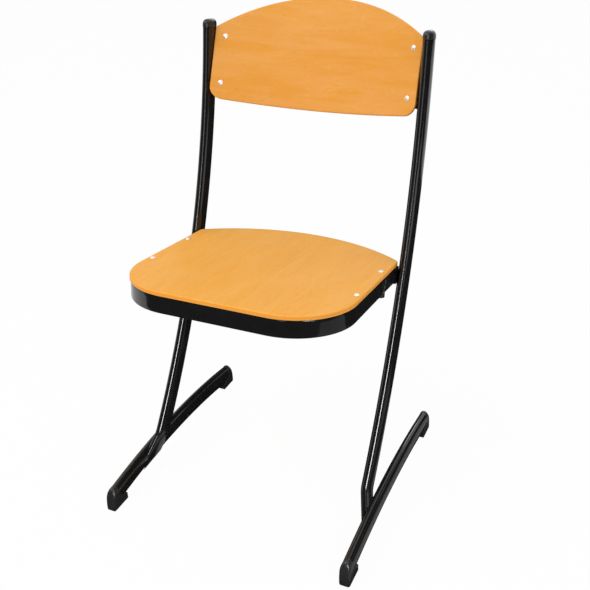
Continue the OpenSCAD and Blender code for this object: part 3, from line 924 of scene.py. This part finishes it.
# %% The seat's place and its outline
seat_z, slope = 439.6 * mm, np.radians(6.9)
seat_half, seat_front, seat_corner = 199.2 * mm, 198 * mm, 107 * mm
seat_back, seat_rear_r, rear_corner = 114 * mm, 315 * mm, 10 * mm
seat_t = 8 * mm
frame_h, frame_w, frame_inset = 30 * mm, 15 * mm, 1.5 * mm
cross_front = 97.5 * mm
frame_corner = 1.6 * mm
frame_level = -seat_t - frame_h / 2
print("seat", 2 * seat_half, "m wide, its face", seat_z, "m high")


def on_seat(sideways, along, above):
    """Lays seat measures into the frame: sideways, along the seat to the rear, above its face."""
    return np.stack(np.broadcast_arrays(
        sideways,
        feet_y + along * np.cos(slope) + above * np.sin(slope),
        seat_z - along * np.sin(slope) + above * np.cos(slope)), axis=-1)


def seat_arcs():
    """Counterclockwise chain: front left corner, rear left corner, rear arc, and back."""
    centre = seat_back - np.sqrt(seat_rear_r**2 - seat_half**2)
    x = seat_half - rear_corner
    y = centre + np.sqrt((seat_rear_r - rear_corner) ** 2 - x**2)
    a = np.degrees(np.arctan2(y - centre, x))
    fx, fy = seat_half - seat_corner, seat_corner - seat_front
    return [
        (fx, fy, seat_corner, -90, 0),
        (x, y, rear_corner, 0, a),
        (0, centre, seat_rear_r, a, 180 - a),
        (-x, y, rear_corner, 180 - a, 180),
        (-fx, fy, seat_corner, 180, 270),
    ]


def box_section(wide, high, corner):
    """A rectangle with round corners, centred, as points."""
    x, y = wide / 2 - corner, high / 2 - corner
    arcs = [(x, y, corner, 0, 90), (-x, y, corner, 90, 180),
            (-x, -y, corner, 180, 270), (x, -y, corner, 270, 360)]
    return arcs_walk(arcs, 32, 6 * mm)[0]


def frame_rings():
    """The section along the right run, its corner, the front run, and the left side's again."""
    fx, fy = seat_half - seat_corner, seat_corner - seat_front
    a = np.radians(np.linspace(0, 90, 61))
    n_left = np.stack([np.cos(a[::-1]), -np.sin(a[::-1])], axis=1)
    n_right = np.stack([-np.cos(a), -np.sin(a)], axis=1)
    steps = np.linspace(cross_front, fy, 24)[:-1]
    right_run = np.stack([np.full_like(steps, -seat_half), steps], axis=1)
    left_run = np.stack([np.full_like(steps, seat_half), steps[::-1]], axis=1)
    right_bend = np.array([-fx, fy]) + seat_corner * n_right
    left_bend = np.array([fx, fy]) + seat_corner * n_left
    middle = np.linspace(-fx, fx, 22)[1:-1]
    front_run = np.stack([middle, np.full_like(middle, -seat_front)], axis=1)
    line = np.concatenate([right_run, right_bend, front_run, left_bend, left_run])
    normal = np.concatenate([
        np.repeat([[-1.0, 0.0]], len(right_run), axis=0), n_right,
        np.repeat([[0.0, -1.0]], len(front_run), axis=0), n_left,
        np.repeat([[1.0, 0.0]], len(left_run), axis=0)])
    line = line - normal * (frame_inset + frame_w / 2)
    section = box_section(frame_w, frame_h, frame_corner)
    flat = line[:, None, :] + section[None, :, :1] * normal[:, None, :]
    level = np.broadcast_to(frame_level + section[None, :, 1], flat.shape[:2])
    return on_seat(flat[..., 0], flat[..., 1], level)


skin("seat_frame_painted", closed_tube(frame_rings()), paint, "seat_frame")

# %% [markdown]
# The rear cross tube has the same section. It runs straight between the uprights and is coped
# to them, so its ends reach just inside their skin.

# %% The rear cross tube
run_in = 1.2 * mm


def cross_tube():
    """The section carried from one upright's inner skin to the other's."""
    section = box_section(frame_w, frame_h, frame_corner)
    x = np.linspace(-1, 1, 41)[:, None] * (upright_x - tube_width / 2 + run_in)
    along = cross_front + frame_w / 2 + section[None, :, 0]
    return on_seat(x, along, frame_level + section[None, :, 1])


skin("rear_cross_tube_painted", closed_tube(cross_tube()), paint,
     "rear_cross_tube")

# %% [markdown]
# ## The plywood panels
#
# A panel is its outline with a thickness. The skin runs from the middle of the face outwards to
# the outline, round a softened edge, down the rim, and back to the middle below. Every ring is
# the outline drawn in by some distance, along its own normals near the edge and towards the
# middle further in. The backrest is the same sheet laid round a vertical bend.


# %% A sheet with softened edges
def sheet_rings(outline, normals, middle, thickness, round_top, round_under, rings=30):
    """Rings of (x, y, depth): out over the face, round the edge, down the rim and back below.

    Edge rings: drawn in by r (1 - sin a) at a depth r (1 - cos a), for a from 0 to 90 degrees.
    """
    quarter = np.radians(np.linspace(0, 90, 7))
    shares = np.linspace(0, 1, rings)[:-1]

    def ring(inwards, depth, share=1.0):
        flat = middle + (outline - normals * inwards - middle) * share
        return np.concatenate([flat, np.full((len(flat), 1), depth)], axis=1)

    def edge(r):
        return [(r * (1 - np.sin(a)), r * (1 - np.cos(a))) for a in quarter]

    walk = [ring(round_top, 0.0, share) for share in shares]
    walk += [ring(inwards, depth) for inwards, depth in edge(round_top)]
    walk += [ring(0.0, d) for d in np.linspace(round_top, thickness - round_under, 7)[1:-1]]
    walk += [ring(inwards, thickness - depth) for inwards, depth in edge(round_under)[::-1]]
    walk += [ring(round_under, thickness, share) for share in shares[::-1]]
    return around(np.stack(walk))


def panel(name, rings, points, grain, thickness, material):
    """A sheet that carries its own measures: the grain's two and the depth below its face."""
    depth = np.minimum(rings[..., 2], thickness - rings[..., 2])
    sheet = np.stack([*grain, depth], axis=-1).reshape(-1, 3)
    skin(name + "_beech", [points], material, name, values={"sheet": sheet})


# %% The seat
seat_round, seat_round_under = 2.6 * mm, 1.4 * mm
seat_heart = np.array([0.0, -30 * mm])
seat_outline, seat_normals = arcs_walk(seat_arcs(), 120, 5 * mm)
seat_rings = sheet_rings(seat_outline, seat_normals, seat_heart, seat_t, seat_round,
                         seat_round_under)
x, y, depth = (seat_rings[..., i] for i in range(3))
panel("seat_panel", seat_rings, on_seat(x, y, -depth), (x, y), seat_t, seat_beech_painted_lit)

# %% [markdown]
# The backrest's face is part of a cylinder of 440 mm radius, leaning back by 21 degrees. Its
# grain runs across, so the attribute swaps the two measures: the arc's length is along the grain.

# %% The backrest
back_half, back_r, back_t = 199.3 * mm, 440 * mm, 9 * mm
back_lean = np.radians(21.0)
back_y, back_z = 248.5 * mm, 718.6 * mm
back_top, back_bottom = 129.4 * mm, 75.6 * mm
back_top_r, back_bottom_r = 320 * mm, 4500 * mm
upper_corner, lower_corner = 9 * mm, 22 * mm


def on_back(sideways, upwards, depth):
    """Lays backrest measures into the frame: sideways, up the panel, behind its front face.

    The sheet lies round a cylinder: y = -R + sqrt((R + depth)^2 - x^2), then it leans back.
    """
    bow = np.sqrt((back_r + depth) ** 2 - sideways**2) - back_r
    return np.stack(np.broadcast_arrays(
        sideways,
        feet_y + back_y + bow * np.cos(back_lean) + upwards * np.sin(back_lean),
        back_z - bow * np.sin(back_lean) + upwards * np.cos(back_lean)), axis=-1)


def back_arcs():
    """Counterclockwise chain from the lower left corner, with the arched top and bowed foot."""
    top_centre, low_centre = back_top - back_top_r, back_bottom_r - back_bottom
    tx, lx = back_half - upper_corner, back_half - lower_corner
    ty = top_centre + np.sqrt((back_top_r - upper_corner) ** 2 - tx**2)
    ly = low_centre - np.sqrt((back_bottom_r - lower_corner) ** 2 - lx**2)
    a = np.degrees(np.arctan2(ty - top_centre, tx))
    b = np.degrees(np.arctan2(ly - low_centre, lx))
    return [
        (lx, ly, lower_corner, b, 0),
        (tx, ty, upper_corner, 0, a),
        (0, top_centre, back_top_r, a, 180 - a),
        (-tx, ty, upper_corner, 180 - a, 180),
        (-lx, ly, lower_corner, 180, 180 - b),
        (0, low_centre, back_bottom_r, 180 - b, 360 + b),
    ]


back_round, back_round_under = 2.4 * mm, 1.6 * mm
back_heart = np.array([0.0, 20 * mm])
back_outline, back_normals = arcs_walk(back_arcs(), 120, 4 * mm)
back_rings = sheet_rings(back_outline, back_normals, back_heart, back_t, back_round,
                         back_round_under)
x, y, depth = (back_rings[..., i] for i in range(3))
grain = (y, back_r * np.arcsin(x / back_r))
panel("backrest_panel", back_rings, on_back(x, y, depth), grain, back_t, back_beech_painted_shaded)

# %% [markdown]
# ## Rivets, washers, brackets and buffers
#
# A rivet is turned: its profile is a list of (radius, height) points, swept round its axis. The
# head is a low dome on a short rim. The same sweep makes the washers behind the backrest, the
# buffers under the seat frame and their sunk screws.


# %% Turned pieces
def rounded_profile(points, radii, steps=5):
    """A polyline of (radius, height) points with rounded corners.

    A corner's curve starts and ends r away from it: p (1 - t)^2 + 2 corner t (1 - t) + q t^2.
    """
    walk = [points[0]]
    for before, here, after, r in zip(points[:-2], points[1:-1], points[2:], radii):
        before, here, after = (np.array(p, float) for p in (before, here, after))
        to_before, to_after = before - here, after - here
        a, b = np.linalg.norm(to_before), np.linalg.norm(to_after)
        cut = min(r, a / 2, b / 2)
        p, q = here + to_before / a * cut, here + to_after / b * cut
        t = np.linspace(0, 1, steps)[:, None]
        walk.extend((p * (1 - t) ** 2 + 2 * here * t * (1 - t) + q * t**2).tolist())
    walk.append(points[-1])
    return np.array(walk)


def turned(profile, centre, up_way, side_way, columns=48):
    """Sweeps (radius, height) points round an axis through the centre along up_way."""
    up_way, side_way = (np.asarray(v, float) for v in (up_way, side_way))
    third = np.cross(up_way, side_way)
    a = np.linspace(0, 2 * np.pi, columns, endpoint=False)
    ring = np.cos(a)[:, None] * side_way + np.sin(a)[:, None] * third
    return around(np.asarray(centre) + profile[:, None, :1] * ring[None]
                  + profile[:, 1][:, None, None] * up_way)


head_r, head_h, rim_h = 4.8 * mm, 2.2 * mm, 0.5 * mm
shank_r = 2.5 * mm
dome_r = (head_r**2 + (head_h - rim_h) ** 2) / (2 * (head_h - rim_h))
rim_ease = 0.25 * mm


def head_profile():
    """Dome down from its top, a softened rim, and the flat underside in to the shank."""
    a = np.linspace(0, np.arcsin((head_r - rim_ease) / dome_r), 12)
    dome = np.stack([dome_r * np.sin(a), head_h - dome_r + dome_r * np.cos(a)], axis=1)
    foot = [(head_r, rim_h - rim_ease / 5), (head_r, rim_h / 5), (head_r - rim_h / 5, 0.0)]
    return np.concatenate([dome, np.array(foot)])


# %% [markdown]
# The seat's rivets pass through the panel into the frame's tube, where their tails spread. Two
# sit on each side, over the tube's middle.

# %% The seat's rivets
seat_rivet_x, seat_rivet_rows = 189 * mm, (-68 * mm, 50 * mm)
seat_grip = 9.5 * mm
spread_h, spread_r = 2.5 * mm, 3.75 * mm
seat_shank = [(shank_r, 0.0), (shank_r, -seat_grip), (spread_r, -seat_grip - spread_h),
              (0.0, -seat_grip - spread_h)]
seat_rivet = np.concatenate([head_profile(), seat_shank])
seat_up = (0, np.sin(slope), np.cos(slope))
skin("seat_rivets_plated",
     [turned(seat_rivet, on_seat(side * seat_rivet_x, row, 0.0), seat_up, (1, 0, 0))
      for side in (-1, 1) for row in seat_rivet_rows],
     steel, "seat_rivets")

# %% [markdown]
# The backrest's rivets stand square to its bent face. Behind the bracket each one holds a washer
# with its domed tail. The face is hollow, so a head rests on its edge and is lifted by a trace.

# %% The backrest's rivets and their washers
bracket_t, washer_t, washer_r = 3 * mm, 1.2 * mm, 6 * mm
tail_r, tail_h = 4 * mm, 1.6 * mm
back_rivet_x, back_rivet_rows = 181.3 * mm, (-42 * mm, 43.5 * mm)
lift = back_r - np.sqrt(back_r**2 - head_r**2)


def at_back_rivets(profile):
    """The profile turned at each of the four rivets, its height measured to the front."""
    grids = []
    lean_turn = np.array([[1, 0, 0], [0, np.cos(back_lean), np.sin(back_lean)],
                          [0, -np.sin(back_lean), np.cos(back_lean)]])
    for _, side in sides:
        a = side * np.arcsin(back_rivet_x / back_r)
        for row in back_rivet_rows:
            out_way = lean_turn @ np.array([-np.sin(a), -np.cos(a), 0.0])
            side_way = lean_turn @ np.array([0.0, 0.0, 1.0])
            centre = on_back(side * back_rivet_x, row, 0.0)
            grids.append(turned(profile, centre, out_way, side_way))
    return grids


def tail_profile(grip):
    """Along the shank by the grip, then a quarter oval: (r cos a, -grip - h sin a)."""
    a = np.radians(np.linspace(0, 90, 8))
    dome = np.stack([tail_r * np.cos(a), -grip - tail_h * np.sin(a)], axis=1)
    return np.concatenate([[(shank_r, 0.0), (shank_r, -grip)], dome])


grip = back_t + bracket_t + washer_t
back_rivet = np.concatenate([head_profile() + np.array([0, lift]), tail_profile(grip)])
skin("back_rivets_plated", at_back_rivets(back_rivet), steel, "back_rivets")

washer_top = -(back_t + bracket_t)
washer_low = washer_top - washer_t
washer_hole, washer_edge = 2.7 * mm, 0.3 * mm
washer = rounded_profile([(washer_hole, washer_top), (washer_r, washer_top),
                          (washer_r, washer_low), (washer_hole, washer_low),
                          (washer_hole, washer_top)], [washer_edge] * 3)
skin("back_washers_plated", at_back_rivets(washer), steel, "back_washers")

# %% [markdown]
# Each bracket is a 3 mm plate bent like the panel, with its two inner corners rounded. Its outer
# end runs into the upright's skin, where it is welded.

# %% The brackets
bracket_h, bracket_corner, bracket_edge = 116 * mm, 9 * mm, 0.5 * mm
bracket_in, bracket_out, welded_corner = 167 * mm, 203 * mm, 1.5 * mm


def bracket():
    """A plate behind the panel, from its inner end to just inside the upright's skin."""
    x0, x1, y, r, e = bracket_in, bracket_out, bracket_h / 2, bracket_corner, welded_corner
    arcs = [(x1 - e, -y + e, e, -90, 0), (x1 - e, y - e, e, 0, 90),
            (x0 + r, y - r, r, 90, 180), (x0 + r, -y + r, r, 180, 270)]
    outline, normals = arcs_walk(arcs, 96, 4 * mm)
    heart = np.array([(x0 + x1) / 2, 0.0])
    rings = sheet_rings(outline, normals, heart, bracket_t, bracket_edge, bracket_edge, 10)
    return on_back(rings[..., 0], rings[..., 1], back_t + rings[..., 2])


pair("back_bracket_painted", [bracket()], paint, "back_bracket")

# %% [markdown]
# A stacking buffer is a rubber stud under each side of the seat frame. It keeps stacked chairs
# from scratching each other. A screw sunk in its foot holds it.

# %% The stacking buffers and their screws
buffer_h, buffer_r, buffer_edge = 9 * mm, 7 * mm, 2 * mm
buffer_x = seat_half - frame_inset - frame_w / 2
buffer_place = 52 * mm


def at_buffer(profile, side):
    """The profile turned at a side's buffer, its height measured down from the frame."""
    centre = on_seat(side * buffer_x, buffer_place, -seat_t - frame_h)
    return turned(profile, centre, (0, -np.sin(slope), -np.cos(slope)), (1, 0, 0))


screw_floor = buffer_h / 2
stud = rounded_profile(
    [(0.0, 0.0), (buffer_r, 0.0), (buffer_r, buffer_h), (head_r, buffer_h),
     (head_r, screw_floor), (0.0, screw_floor)],
    [0.3 * mm, buffer_edge, 0.5 * mm, 0.2 * mm], steps=7)
pair("stack_buffer_moulded", [at_buffer(stud, 1)], rubber, "stack_buffer")

screw_r, slot_r = head_r - 0.2 * mm, 1.6 * mm
screw_rises = [(0.0, -0.5 * mm), (screw_r, -0.5 * mm), (screw_r, 0.7 * mm),
               (slot_r, 1.2 * mm), (slot_r - 0.2 * mm, 0.2 * mm), (0.0, 0.0)]
screw = rounded_profile([(r, screw_floor + rise) for r, rise in screw_rises],
                        [0.2 * mm, 0.4 * mm, 0.1 * mm, 0.1 * mm])
skin("buffer_screws_plated", [at_buffer(screw, side) for _, side in sides], steel,
     "buffer_screws")
